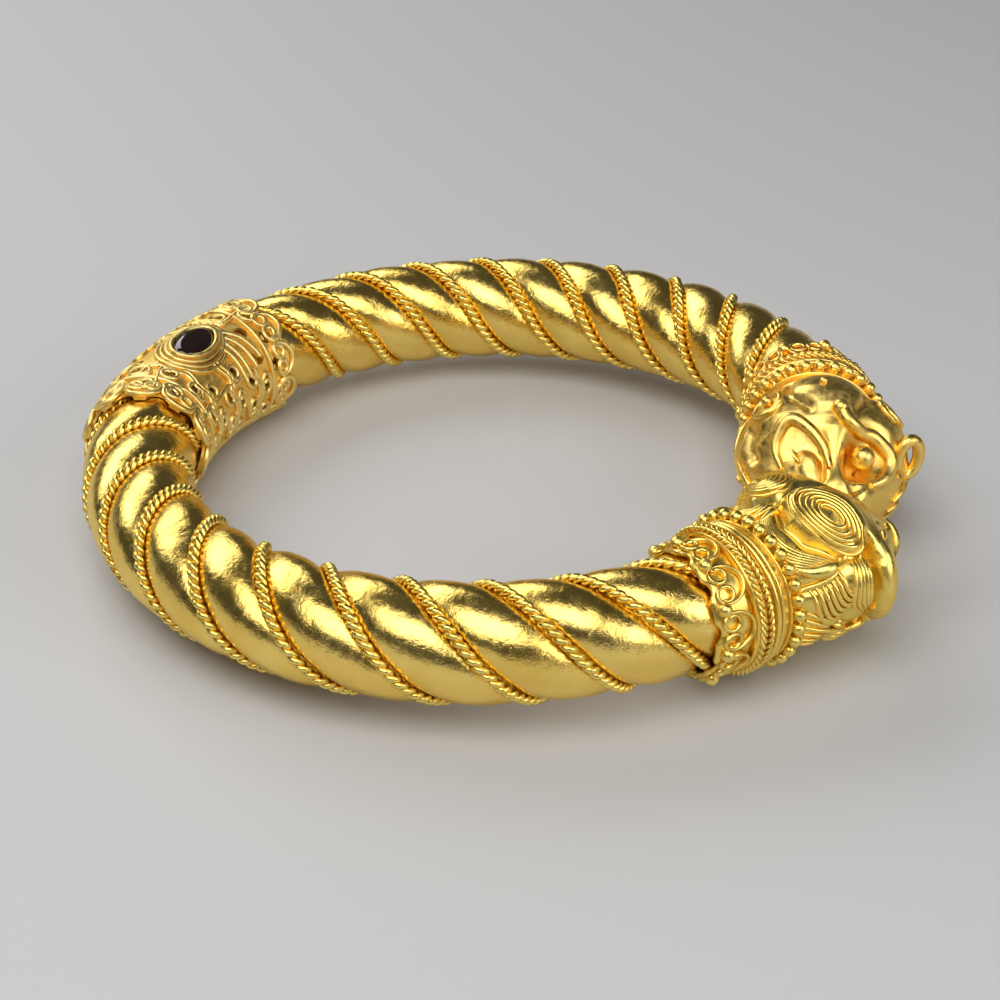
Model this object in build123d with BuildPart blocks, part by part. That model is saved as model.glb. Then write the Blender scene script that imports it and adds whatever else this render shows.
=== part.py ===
from build123d import *
from math import asin, ceil, cos, degrees, exp, hypot, pi, radians, sin, sqrt
import os

# Open twisted bangle with an animal head at each end, in millimetres.
# The origin is the middle of the wrist opening, +Z is up and the opening between the heads faces -Y.
# A station is a distance along the hoop's centreline, counted from the left head's bead ring.

os.makedirs("parts", exist_ok=True)

# Hoop line, seen from above
hoop_radius = 34.0
left_end_angle = 240.4
right_bend_angle = -20.0
right_bend_radius = 27.9
right_bend_turn = 51.0

# Twisted tube
crest_radius = 5.3
lip_radius = 4.75
groove_floor_radius = 4.25
lobe_count = 3
left_pitch = 22.75
right_pitch = 20.8
left_groove_station = 32.1
right_groove_station = 133.2
hoop_step = 1.5
half_gap = 0.3

# Rope wire in each groove
wire_radius = 0.45
wire_floor_gap = 0.1
wire_sides = 5
wire_tuck = 2.0
wire_spread = 0.83

# Sleeve over the joint of the two halves
sleeve_angle = 86.0
sleeve_length = 23.6
sleeve_wall = 0.4
sleeve_clearance = 0.15
sleeve_rows = 8
sleeve_columns = 12
sleeve_hole_radius = 0.75
sleeve_scallops = 10
sleeve_scallop_radius = 1.15

# Stone and its bezel on top of the sleeve
stone_length = 6.2
stone_width = 3.4
stone_height = 1.0
stone_angle = 103.0
stone_clearance = 0.1
bezel_wall = 0.35
bezel_height = 0.6
bezel_root = 0.02
stone_rounding = 0.8

# Collar behind each head, places measured back from the bead ring
collar_length = 7.0
collar_clearance = 0.15
band_wall = 0.4
step_length = 3.7
step_wall = 1.0
hoop_tuck = 0.4
seat_half_length = 0.65
bead_ring_radius = 6.85
bead_radius = 0.62
bead_count = 30
bead_phase = 0.25
ring_wire_radius = 0.22
ring_near = 1.35
ring_far = 1.85
braid_radius = 0.36
braid_near = 2.65
braid_far = 3.27
scroll_count = 9
scroll_turn = 8.0
scroll_radius = 1.8
scroll_wire = 0.4
scroll_relief = 0.35
scroll_mouth = 1.65
scroll_at = 5.6
spiral_radius = 0.76
spiral_ahead = 0.12
spiral_aside = 0.52
scallop_radius = 0.6
ball_radius = 0.65
ball_inset = 0.6

# Heads
head_length = 16.8
head_radius = 8.0
head_gap = 0.1
head_rings = 34
head_sides = 44
head_mean_share = 0.85
head_fade_share = 0.06
left_head_roll = -4.0
right_head_roll = 6.0
left_head_lean = 5.0
right_head_lean = 1.5

# Derived places
hoop_end = step_length - hoop_tuck
left_run = radians(left_end_angle - right_bend_angle) * hoop_radius
path_length = left_run + radians(right_bend_turn) * right_bend_radius
sleeve_station = radians(left_end_angle - sleeve_angle) * hoop_radius
sleeve_inner = crest_radius + sleeve_clearance
sleeve_outer = sleeve_inner + sleeve_wall
band_inner = crest_radius + collar_clearance
band_outer = band_inner + band_wall
step_outer = band_inner + step_wall
scroll_root = band_inner + 0.5 * band_wall

# The bead rings and the sleeve stand on the floor together, which leans the hoop a little
ring_bottom = bead_ring_radius + bead_radius
ring_reach = hoop_radius * sin(radians(left_end_angle - 180))
rest_tilt = degrees(asin((ring_bottom - sleeve_outer) / (ring_reach + hoop_radius)))
hoop_plane = Plane(origin=(0, 0, 0), x_dir=(1, 0, 0), z_dir=(0, sin(radians(rest_tilt)), cos(radians(rest_tilt))))


def world(x, y, z=0.0):
    """Point of the leaning hoop frame in the part's frame."""
    return hoop_plane.from_local_coords(Vector(x, y, z))


def bend_at(station):
    """Centre, radius and angle round the hoop of the bend that a station lies on."""
    if station <= left_run:
        return (0.0, 0.0), hoop_radius, left_end_angle - degrees(station / hoop_radius)
    shift = hoop_radius - right_bend_radius
    centre = (shift * cos(radians(right_bend_angle)), shift * sin(radians(right_bend_angle)))
    turned = degrees((station - left_run) / right_bend_radius)
    return centre, right_bend_radius, right_bend_angle - turned


def station_plane(station):
    """Section plane: x outward, y up, z along the hoop towards the right end."""
    centre, radius, angle = bend_at(station)
    out = (cos(radians(angle)), sin(radians(angle)))
    origin = world(centre[0] + radius * out[0], centre[1] + radius * out[1])
    return Plane(origin=origin, x_dir=world(*out), z_dir=world(out[1], -out[0]))


def bend_axis(station):
    centre = bend_at(station)[0]
    return Axis(origin=world(*centre), direction=hoop_plane.z_dir)


def end_station(end, back):
    """Station at a distance back from an end's bead ring."""
    return back if end == "left" else path_length - back


def section_point(plane, radius, angle):
    return plane.from_local_coords(Vector(radius * cos(radians(angle)), radius * sin(radians(angle)), 0))


def surface_plane(station, radius, angle, backwards=1):
    """Plane on the tube's skin: z radial, x along the hoop."""
    plane = station_plane(station)
    origin = section_point(plane, radius, angle)
    return Plane(origin=origin, x_dir=plane.z_dir * backwards, z_dir=origin - plane.origin)


def bent_tube(first, last, inner, outer, mode=Mode.ADD):
    """Round tube along one bend, between two stations."""
    with BuildSketch(station_plane(last)) as wall:
        Circle(outer)
        Circle(inner, mode=Mode.SUBTRACT)
    turn = degrees((last - first) / bend_at(last)[1])
    revolve(wall.sketch, axis=bend_axis(last), revolution_arc=turn, mode=mode)


def triangle(a, b, c):
    return Face(Wire.make_polygon([a, b, c], close=True))


def skin(rings):
    """Triangles between each ring of points and the next one, split along the shorter diagonal."""
    faces = []
    for near, far in zip(rings, rings[1:]):
        count = len(near)
        for i in range(count):
            j = (i + 1) % count
            if (near[i] - far[j]).length < (near[j] - far[i]).length:
                faces.append(triangle(near[i], near[j], far[j]))
                faces.append(triangle(near[i], far[j], far[i]))
            else:
                faces.append(triangle(near[i], near[j], far[i]))
                faces.append(triangle(near[j], far[j], far[i]))
    return faces


def flat_cap(ring):
    return Face(Wire.make_polygon(ring, close=True))


def steps_between(first, last, step):
    count = max(2, ceil((last - first) / step))
    return [first + (last - first) * i / count for i in range(count + 1)]


# One lobe from groove to groove: share of the lobe's angle, radius
shoulder_radius = crest_radius - 0.36 * (crest_radius - lip_radius)
lobe_profile = [
    (0.067, groove_floor_radius),
    (0.090, lip_radius),
    (0.250, shoulder_radius),
    (0.500, crest_radius),
    (0.750, shoulder_radius),
    (0.910, lip_radius),
    (0.933, groove_floor_radius),
]


def twist(half, station):
    """Angle of the first groove at a station, from outward through up."""
    if half == "left":
        return 360 * (station - left_groove_station) / left_pitch
    return 360 * (station - right_groove_station) / right_pitch


def lobed_ring(half, station):
    plane = station_plane(station)
    lobe_angle = 360 / lobe_count
    start = twist(half, station)
    return [
        section_point(plane, radius, start + lobe_angle * (lobe + share))
        for lobe in range(lobe_count)
        for share, radius in lobe_profile
    ]


def hoop_half(half, first, last):
    rings = [lobed_ring(half, s) for s in steps_between(first, last, hoop_step)]
    return Solid(Shell(skin(rings) + [flat_cap(rings[0]), flat_cap(rings[-1])]))


def wire_ring(half, station, groove):
    """Section of a rope wire where the tube's section plane cuts it aslant."""
    plane = station_plane(station)
    pitch = left_pitch if half == "left" else right_pitch
    centre_radius = groove_floor_radius + wire_floor_gap + wire_radius
    slant = 2 * pi * centre_radius / pitch
    reach = wire_spread * wire_radius * sqrt(1 + slant * slant)
    centre = twist(half, station) + 360 * groove / lobe_count
    ring = []
    for i in range(wire_sides):
        around = radians(90 + 360 * i / wire_sides)
        aside = degrees(reach * cos(around) / centre_radius)
        ring.append(section_point(plane, centre_radius + wire_radius * sin(around), centre + aside))
    return ring


def groove_wire(half, first, last, groove):
    rings = [wire_ring(half, s, groove) for s in steps_between(first, last, hoop_step)]
    return Solid(Shell(skin(rings) + [flat_cap(rings[0]), flat_cap(rings[-1])]))


# Head form: share of the length, then crown, cheek and jaw as shares of the head's radius
head_form = [
    (0.00, 0.77, 0.77, 0.75),
    (0.06, 0.81, 0.81, 0.76),
    (0.21, 0.85, 0.89, 0.78),
    (0.38, 0.91, 0.98, 0.81),
    (0.45, 0.91, 0.98, 0.81),
    (0.53, 0.90, 0.96, 0.82),
    (0.59, 0.84, 0.91, 0.82),
    (0.65, 0.74, 0.82, 0.81),
    (0.71, 0.62, 0.71, 0.76),
    (0.78, 0.51, 0.62, 0.69),
    (0.86, 0.38, 0.47, 0.56),
    (0.93, 0.29, 0.36, 0.46),
    (0.97, 0.21, 0.30, 0.34),
    (1.00, 0.09, 0.13, 0.17),
]

# Raised and sunk places of each head: along (share), angle from the crown towards the hoop's outside,
# half length, half width and height (shares of the head's radius), turn in the skin, cheeks that have it
head_places = {
    "left": [
        (0.35, 33, 0.36, 0.57, 0.12, -13, 2),
        (0.15, 62, 0.30, 0.16, 0.08, 0, 2),
        (0.20, 84, 0.25, 0.33, 0.13, 20, 2),
        (0.36, 80, 0.18, 0.38, 0.12, -8, 2),
        (0.61, 94, 0.26, 0.54, 0.13, 0, 2),
        (0.64, 34, 0.40, 0.30, 0.05, 0, 2),
        (0.87, 88, 0.21, 0.30, 0.05, 0, 2),
        (0.51, 180, 0.60, 0.48, 0.05, 0, 1),
        (0.20, 125, 0.35, 0.33, 0.06, 0, 2),
    ],
    "right": [
        (0.30, -6, 0.43, 0.49, 0.16, 0, 1),
        (0.33, -48, 0.31, 0.33, 0.13, 0, 1),
        (0.34, 50, 0.31, 0.30, 0.12, 0, 1),
        (0.48, 77, 0.18, 0.26, 0.20, 0, 2),
        (0.71, 40, 0.29, 0.29, -0.24, 0, 1),
        (0.75, -36, 0.30, 0.31, -0.20, 0, 1),
        (0.70, 40, 0.14, 0.14, 0.32, 0, 1),
        (0.77, -36, 0.13, 0.13, 0.26, 0, 1),
        (0.80, 3, 0.43, 0.19, 0.06, 0, 1),
        (0.79, 95, 0.35, 0.38, 0.07, 0, 2),
        (0.51, 180, 0.60, 0.48, 0.05, 0, 1),
        (0.16, 100, 0.31, 0.35, 0.06, 0, 2),
    ],
}

# Ridges and creases of each head: height and half width (shares of the head's radius), cheeks that
# have it, then points as along and angle
head_ridges = {
    "left": [
        (-0.10, 0.07, 2, [(0.20, 4), (0.14, 22), (0.17, 42), (0.27, 60), (0.42, 68), (0.50, 62)]),
        (-0.08, 0.06, 2, [(0.49, 64), (0.45, 82), (0.47, 106), (0.52, 128)]),
        (-0.12, 0.07, 2, [(0.64, 132), (0.80, 130), (0.98, 118)]),
    ],
    "right": [
        (0.10, 0.08, 1, [(0.53, 8), (0.57, 12), (0.61, 21), (0.58, 36), (0.57, 50), (0.62, 62), (0.78, 65)]),
        (0.07, 0.07, 1, [(0.84, -6), (0.73, -12), (0.63, -24), (0.58, -35), (0.62, -48), (0.77, -66)]),
        (-0.12, 0.07, 2, [(0.64, 132), (0.80, 130), (0.98, 118)]),
    ],
}


def form_radius(share, angle):
    """Radius of the plain head at a share of its length and an angle from the crown."""
    angle = (angle + 180) % 360 - 180
    for low, high in zip(head_form, head_form[1:]):
        if share <= high[0]:
            break
    blend = (share - low[0]) / (high[0] - low[0])
    crown, cheek, jaw = [a + (b - a) * blend for a, b in zip(low[1:], high[1:])]
    upright = crown if abs(angle) < 90 else jaw
    return head_radius / sqrt((cos(radians(angle)) / upright) ** 2 + (sin(radians(angle)) / cheek) ** 2)


def skin_offset(share, angle, at_share, at_angle):
    """Distances along and round the skin from a place, as shares of the head's radius."""
    along = (share - at_share) * head_length / head_radius
    return along, radians((angle - at_angle + 180) % 360 - 180) * head_mean_share


def to_segment(share, angle, start, end):
    """Distance on the skin to a straight stretch between two places."""
    ax, ay = skin_offset(start[0], start[1], share, angle)
    bx, by = skin_offset(end[0], end[1], share, angle)
    dx, dy = bx - ax, by - ay
    near = max(0.0, min(1.0, -(ax * dx + ay * dy) / (dx * dx + dy * dy)))
    return hypot(ax + near * dx, ay + near * dy)


def relief(end, share, angle):
    """Height of a head's places and ridges over its plain form."""
    height = 0.0
    for at_share, at_angle, half_length, half_width, rise, turn, cheeks in head_places[end]:
        for side in (1, -1)[:cheeks]:
            along, round_ = skin_offset(share, angle, at_share, side * at_angle)
            aim = radians(side * turn)
            u = (along * cos(aim) + round_ * sin(aim)) / half_length
            v = (round_ * cos(aim) - along * sin(aim)) / half_width
            height += rise * exp(-((u * u + v * v) ** 2))
    for rise, half_width, cheeks, points in head_ridges[end]:
        for side in (1, -1)[:cheeks]:
            line = [(along, side * from_crown) for along, from_crown in points]
            away = min(to_segment(share, angle, a, b) for a, b in zip(line, line[1:]))
            height += rise * exp(-((away / half_width) ** 2))
    fade = min(1.0, share / head_fade_share, (1 - share) / head_fade_share)
    return height * head_radius * fade


def head_solid(end, roll, lean):
    """Head standing on the collar's front face, its nose leaning outward."""
    base = station_plane(end_station(end, -seat_half_length - head_gap))
    forward = 1 if end == "right" else -1
    reach = head_length - seat_half_length - head_gap
    rings = []
    for i in range(head_rings + 1):
        share = i / head_rings
        ahead = share * reach
        ring = []
        for k in range(head_sides):
            angle = forward * 360 * k / head_sides
            radius = form_radius(share, angle) + relief(end, share, angle)
            turned = radians(angle + roll)
            side = radius * sin(turned) + ahead * sin(radians(lean))
            ring.append(base.from_local_coords(Vector(side, radius * cos(turned), forward * ahead)))
        rings.append(ring)
    return Solid(Shell(skin(rings) + [flat_cap(rings[0]), flat_cap(rings[-1])]))


def scroll_outline():
    """C scroll open towards the tube, with a round spiral inside each tip."""
    Circle(scroll_radius)
    Circle(scroll_radius - scroll_wire, mode=Mode.SUBTRACT)
    with Locations((scroll_radius, 0)):
        Rectangle(scroll_mouth * scroll_radius, 2 * scroll_radius, mode=Mode.SUBTRACT)
    tips = [(spiral_ahead * scroll_radius, side * spiral_aside * scroll_radius) for side in (-1, 1)]
    with Locations(*tips):
        Circle(spiral_radius)
        Circle(spiral_radius - scroll_wire, mode=Mode.SUBTRACT)


def end_tube(end, near, far, inner, outer, mode=Mode.ADD):
    """Bent tube between two distances back from an end's bead ring."""
    bent_tube(*sorted([end_station(end, near), end_station(end, far)]), inner, outer, mode)


def scroll_angles(shift):
    """Angles of the scrolls round the tube, shifted by a share of their pitch."""
    return [scroll_turn + 360 * (i + shift) / scroll_count for i in range(scroll_count)]


def make_scrolls(end):
    """Scrolls standing on the band, curved with the tube."""
    forward = 1 if end == "left" else -1
    scroll_planes = [
        surface_plane(end_station(end, scroll_at), band_outer, angle, forward) for angle in scroll_angles(0)
    ]
    with BuildPart() as scrolls:
        with BuildSketch(*scroll_planes):
            scroll_outline()
        extrude(amount=scroll_radius, both=True)
        end_tube(end, step_length, collar_length, scroll_root, band_outer + scroll_relief, Mode.INTERSECT)
    return scrolls


def make_collar(end):
    scrolls = make_scrolls(end)
    edge = end_station(end, collar_length)
    with BuildPart() as collar:
        end_tube(end, step_length, collar_length, band_inner, band_outer)
        with Locations(*[surface_plane(edge, band_outer, angle) for angle in scroll_angles(0)]):
            Cylinder(scallop_radius, 4 * band_wall, mode=Mode.SUBTRACT)
        add(scrolls.part)
        end_tube(end, -seat_half_length, step_length, band_inner, step_outer)
        with Locations(*[station_plane(end_station(end, back)) for back in (braid_near, braid_far)]):
            Torus(step_outer, braid_radius)
        with Locations(*[station_plane(end_station(end, back)) for back in (ring_near, ring_far)]):
            Torus(step_outer, ring_wire_radius)
        ball_plane = station_plane(end_station(end, collar_length - ball_inset))
        ball_orbit = band_outer + 0.5 * ball_radius
        with Locations(*[section_point(ball_plane, ball_orbit, angle) for angle in scroll_angles(0.5)]):
            Sphere(ball_radius)
        ring_plane = station_plane(end_station(end, 0))
        bead_angles = [360 * (i + bead_phase) / bead_count for i in range(bead_count)]
        with Locations(*[section_point(ring_plane, bead_ring_radius, angle) for angle in bead_angles]):
            Sphere(bead_radius)
    return collar


def near_stone(station, angle):
    along = abs(station - sleeve_station) / (0.5 * stone_length + bezel_wall + 2 * sleeve_hole_radius)
    round_ = abs(radians(angle - stone_angle)) * sleeve_outer
    return hypot(along, round_ / (0.5 * stone_width + bezel_wall + 2 * sleeve_hole_radius)) < 1


with BuildPart() as hoop_left:
    add(hoop_half("left", hoop_end, sleeve_station - half_gap / 2))
hoop_left.part.label = "hoop_left"
export_step(hoop_left.part, "parts/hoop_left.step")

with BuildPart() as hoop_right:
    add(hoop_half("right", sleeve_station + half_gap / 2, path_length - hoop_end))
hoop_right.part.label = "hoop_right"
export_step(hoop_right.part, "parts/hoop_right.step")

wire_spans = {
    "left": (collar_length - wire_tuck, sleeve_station - sleeve_length / 2 + wire_tuck),
    "right": (sleeve_station + sleeve_length / 2 - wire_tuck, path_length - collar_length + wire_tuck),
}
for half, (first, last) in wire_spans.items():
    for groove in range(lobe_count):
        with BuildPart() as wire:
            add(groove_wire(half, first, last, groove))
        wire.part.label = f"groove_wire_{half}_{groove + 1}"
        export_step(wire.part, f"parts/{wire.part.label}.step")

with BuildPart() as sleeve:
    sleeve_ends = (sleeve_station - sleeve_length / 2, sleeve_station + sleeve_length / 2)
    bent_tube(*sleeve_ends, sleeve_inner, sleeve_outer)
    column_angle = 360 / sleeve_columns
    hole_planes = []
    for row in range(sleeve_rows):
        row_station = sleeve_ends[0] + sleeve_length * (row + 1) / (sleeve_rows + 1)
        for column in range(sleeve_columns):
            hole_angle = column_angle * (column + 0.5 * (row % 2))
            if not near_stone(row_station, hole_angle):
                hole_planes.append(surface_plane(row_station, sleeve_outer, hole_angle))
    with Locations(*hole_planes):
        Cylinder(sleeve_hole_radius, 4 * sleeve_wall, mode=Mode.SUBTRACT)
    scallop_planes = [
        surface_plane(station, sleeve_outer, 360 * i / sleeve_scallops)
        for station in sleeve_ends
        for i in range(sleeve_scallops)
    ]
    with Locations(*scallop_planes):
        Cylinder(sleeve_scallop_radius, 4 * sleeve_wall, mode=Mode.SUBTRACT)
    bezel_plane = surface_plane(sleeve_station, sleeve_inner + bezel_root, stone_angle)
    with BuildSketch(bezel_plane):
        Ellipse(stone_length / 2 + stone_clearance + bezel_wall, stone_width / 2 + stone_clearance + bezel_wall)
    extrude(amount=sleeve_wall + bezel_height)
    seat_plane = surface_plane(sleeve_station, sleeve_outer, stone_angle)
    with BuildSketch(seat_plane):
        Ellipse(stone_length / 2 + stone_clearance, stone_width / 2 + stone_clearance)
    extrude(amount=2 * bezel_height, mode=Mode.SUBTRACT)
sleeve.part.label = "sleeve"
export_step(sleeve.part, "parts/sleeve.step")

with BuildPart() as stone:
    stone_plane = surface_plane(sleeve_station, sleeve_outer + stone_clearance, stone_angle)
    with BuildSketch(stone_plane):
        Ellipse(stone_length / 2, stone_width / 2)
    extrude(amount=stone_height)
    stone_top = stone.faces().sort_by(Axis(stone_plane.origin, stone_plane.z_dir))[-1]
    fillet(stone_top.edges(), stone_rounding * stone_height)
stone.part.label = "stone"
export_step(stone.part, "parts/stone.step")

for end in ("left", "right"):
    collar = make_collar(end)
    collar.part.label = f"collar_{end}"
    export_step(collar.part, f"parts/collar_{end}.step")

head_stances = {"left": (left_head_roll, left_head_lean), "right": (right_head_roll, right_head_lean)}
for end, (roll, lean) in head_stances.items():
    with BuildPart() as head:
        add(head_solid(end, roll, lean))
    head.part.label = f"head_{end}"
    export_step(head.part, f"parts/head_{end}.step")
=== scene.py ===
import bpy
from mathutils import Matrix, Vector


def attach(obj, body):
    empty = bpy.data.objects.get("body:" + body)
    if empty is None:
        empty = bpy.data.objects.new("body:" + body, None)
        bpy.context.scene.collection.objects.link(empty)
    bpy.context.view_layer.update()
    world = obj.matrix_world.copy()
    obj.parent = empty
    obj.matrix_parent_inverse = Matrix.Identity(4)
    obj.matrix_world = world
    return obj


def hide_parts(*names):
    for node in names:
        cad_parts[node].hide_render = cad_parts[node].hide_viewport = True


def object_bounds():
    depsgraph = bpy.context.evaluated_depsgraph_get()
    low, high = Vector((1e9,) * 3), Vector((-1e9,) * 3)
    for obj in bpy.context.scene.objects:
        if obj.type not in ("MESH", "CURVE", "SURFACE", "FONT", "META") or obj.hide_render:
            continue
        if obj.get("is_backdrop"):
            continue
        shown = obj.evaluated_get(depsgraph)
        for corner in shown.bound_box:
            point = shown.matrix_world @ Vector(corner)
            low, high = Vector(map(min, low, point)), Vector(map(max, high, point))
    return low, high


bl_info = {
    "name": "Animal Head Bangle",
    "version": (1, 0, 0),
    "blender": (4, 5, 0),
    "location": "View3D > Sidebar > Bangle",
    "description": "Twisted gold bangle with two facing animal heads, collars, ropes and a filigree sleeve",
    "category": "Add Mesh",
}

from math import acos, asin, atan2, ceil, cos, degrees, exp, hypot, pi, radians, sin, sqrt

import bmesh
import bpy
from bpy.props import FloatProperty, FloatVectorProperty, IntProperty, PointerProperty
from bpy.types import Operator, Panel, PropertyGroup
from mathutils import Matrix, Vector, noise

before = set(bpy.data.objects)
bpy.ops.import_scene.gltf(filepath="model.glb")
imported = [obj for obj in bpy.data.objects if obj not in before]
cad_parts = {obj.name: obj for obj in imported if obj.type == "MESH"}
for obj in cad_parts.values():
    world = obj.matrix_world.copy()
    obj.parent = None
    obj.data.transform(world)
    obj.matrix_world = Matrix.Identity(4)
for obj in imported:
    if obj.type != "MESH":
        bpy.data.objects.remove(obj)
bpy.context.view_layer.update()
MM = 0.001


# Plain head, in mm: distance from the bead ring, then skin radius at the crown, the cheeks and the jaw
HEAD_FORM = [
    (0.0, 5.95, 5.95, 5.95),
    (1.7, 6.45, 6.45, 6.05),
    (4.1, 6.80, 7.15, 6.25),
    (6.8, 7.25, 7.85, 6.45),
    (7.9, 7.30, 7.85, 6.50),
    (9.2, 7.20, 7.65, 6.60),
    (10.2, 6.70, 7.30, 6.60),
    (11.2, 5.95, 6.55, 6.45),
    (12.2, 5.00, 5.70, 6.10),
    (13.3, 4.10, 4.95, 5.50),
    (14.6, 3.05, 3.75, 4.50),
    (15.6, 2.30, 2.90, 3.70),
    (16.3, 1.70, 2.40, 2.70),
    (16.8, 0.70, 1.00, 1.40),
]

# Swellings and dents: mm from the ring, degrees from the crown towards the hoop's outside,
# half length, half width and rise in mm, degrees turned, and 1 if the other cheek has it too
HEAD_SWELLINGS = {
    "left": [
        (6.4, 33, 2.9, 4.6, 0.75, -13, 1),
        (3.2, 62, 2.4, 1.3, 0.45, 0, 1),
        (3.9, 84, 2.0, 2.6, 0.80, 20, 1),
        (6.6, 80, 1.4, 3.0, 0.75, -8, 1),
        (10.6, 94, 1.9, 4.2, 1.45, 0, 1),
        (11.0, 34, 3.2, 2.4, 0.35, 0, 1),
        (14.8, 88, 1.7, 2.4, 0.35, 0, 1),
        (9.0, 180, 4.8, 3.8, 0.35, 0, 0),
        (4.0, 125, 2.8, 2.6, 0.35, 0, 1),
    ],
    "right": [
        (5.9, -4, 3.3, 3.8, 1.15, 0, 0),
        (7.2, -46, 2.4, 2.3, 0.70, 0, 0),
        (6.2, 50, 2.5, 2.4, 0.7, 0, 0),
        (7.6, 80, 1.7, 2.4, 0.5, 0, 1),
        (12.2, 40, 2.3, 2.3, -2.0, 0, 0),
        (12.9, -36, 2.4, 2.5, -1.1, 0, 0),
        (13.4, -38, 1.3, 1.2, 0.6, 0, 0),
        (13.6, 3, 3.4, 1.5, 0.5, 0, 0),
        (13.4, 95, 2.8, 3.0, 0.6, 0, 1),
        (9.0, 180, 4.8, 3.8, 0.35, 0, 0),
        (3.4, 100, 2.5, 2.8, 0.45, 0, 1),
        (9.4, 104, 2.2, 2.8, 0.3, 0, 1),
    ],
}

# Furrows: depth and half width in mm, 1 if the other cheek has it too, then places along it
HEAD_FURROWS = {
    "left": [
        (0.95, 0.50, 1, [(4.0, 4), (3.0, 22), (3.4, 42), (5.0, 60), (7.6, 68), (8.8, 62)]),
        (0.55, 0.40, 1, [(1.4, 75), (3.2, 74), (5.2, 66)]),
        (1.05, 0.45, 1, [(8.7, 62), (8.2, 82), (8.4, 106), (9.2, 128)]),
        (0.50, 0.40, 0, [(4.5, 0), (7.0, 0), (9.5, 0)]),
        (1.00, 0.45, 1, [(11.0, 132), (13.5, 130), (16.5, 118)]),
        (0.60, 0.35, 1, [(11.5, 66), (12.2, 63), (12.5, 68)]),
    ],
    "right": [
        (0.60, 0.45, 0, [(2.6, 24), (4.6, 30), (7.0, 27), (8.8, 20)]),
        (0.60, 0.45, 0, [(2.6, -30), (4.6, -34), (7.4, -30), (9.2, -18)]),
        (0.60, 0.45, 1, [(8.4, -66), (9.2, -74), (10.4, -78)]),
        (0.50, 0.40, 1, [(13.2, 14), (14.8, 26), (15.8, 60)]),
        (1.00, 0.45, 1, [(11.0, 132), (13.5, 130), (16.5, 118)]),
    ],
}

# Ridged whorls: mm from the ring, degrees from the crown, half length, half width, degrees turned,
# turns, share of the size where the spiral starts, wire radius, and 1 for both cheeks
HEAD_WHORLS = {
    "left": [(6.3, 34, 2.4, 4.2, -13, 6, 0.16, 0.25, 1)],
    "right": [
        (7.2, -46, 1.5, 1.6, 0, 1.2, 0.75, 0.34, 0),
        (6.2, 50, 1.7, 1.8, 180, 1.5, 0.35, 0.34, 0),
    ],
}

# Locks of hair: the roots' first and last place, the bend's, the tips', count, wire radius, both cheeks
HEAD_LOCKS = {
    "left": [
        ((2.9, 4), (0.9, 10), (-0.9, 34), (-2.2, 56), (4.2, 61), (3.2, 66), 8, 0.26, 1),
        ((2.0, 74), (4.6, 67), (2.3, 116), (4.6, 84), (5.0, 100), (5.6, 87), 7, 0.27, 1),
        ((6.2, 66), (8.2, 64), (4.4, 90), (7.4, 84), (6.6, 102), (7.7, 96), 6, 0.27, 1),
        ((1.5, 94), (1.7, 130), (4.0, 106), (5.0, 134), (5.6, 110), (7.8, 130), 6, 0.27, 1),
        ((1.4, -8), (1.4, 8), (3.0, -5), (3.0, 5), (4.4, -3), (4.4, 3), 3, 0.34, 0),
    ],
    "right": [
        ((1.4, 80), (1.4, 132), (4.0, 90), (4.6, 134), (7.0, 100), (8.0, 136), 5, 0.38, 1),
        ((9.0, 88), (8.6, 112), (10.5, 92), (10.2, 116), (11.8, 100), (11.8, 120), 3, 0.34, 1),
    ],
}

# Single strands: radius, 1 for both cheeks, then mm from the ring, degrees from the crown, lift and share
HEAD_STRANDS = {
    "left": [
        (0.66, 1, [(1.2, 58, 0.0, 0.3), (2.4, 64, 0.15, 0.9), (3.8, 65, 0.15, 1.0), (5.4, 62, 0.0, 0.2)]),
        (0.30, 1, [(0.8, 76, 0.1, 0.8), (2.6, 74, 0.2, 1.0), (4.4, 69, 0.2, 1.0), (6.0, 62, 0.1, 0.7)]),
        (0.30, 1, [(10.8, 62, 0.0, 0.6), (11.6, 58, 0.1, 1.0), (12.6, 62, 0.1, 1.0), (12.6, 70, 0.0, 0.6)]),
        (0.40, 1, [(6.0, 122, 0.0, 0.3), (8.0, 120, 0.15, 1.0), (10.0, 130, 0.0, 0.4)]),
        (0.34, 1, [(14.4, 100, 0.0, 0.4), (15.6, 92, 0.1, 1.0), (16.2, 74, 0.1, 1.0), (16.3, 40, 0.0, 0.6)]),
    ],
    "right": [
        (0.76, 0, [
            (9.9, 5, 0.25, 0.95), (10.8, 11, 0.25, 0.9), (10.7, 24, 0.3, 0.9), (10.2, 40, 0.35, 1.0),
            (10.7, 56, 0.35, 1.0), (11.7, 67, 0.3, 0.95), (13.2, 70, 0.2, 0.75), (14.2, 66, 0.0, 0.4),
        ]),
        (0.62, 0, [
            (14.2, -6, 0.0, 0.5), (12.4, -12, 0.2, 0.9), (10.9, -24, 0.3, 1.0), (10.1, -35, 0.4, 1.1),
            (10.6, -48, 0.3, 1.0), (11.6, -60, 0.2, 0.8), (13.0, -66, 0.0, 0.5),
        ]),
        (0.30, 1, [(14.2, 110, 0.0, 0.4), (15.4, 98, 0.1, 1.0), (16.1, 78, 0.1, 1.0), (16.2, 40, 0.0, 0.6)]),
    ],
}

# Balls: mm from the ring, degrees from the crown, lift, radius and 1 for both cheeks
HEAD_BALLS = {
    "left": [],
    "right": [
        (12.2, 40, 1.35, 1.15, 0),
        (6.6, -6, 0.1, 0.40, 0),
        (9.8, 4, 0.3, 0.80, 0),
        (7.2, -45, 0.3, 0.55, 0),
    ],
}

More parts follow.
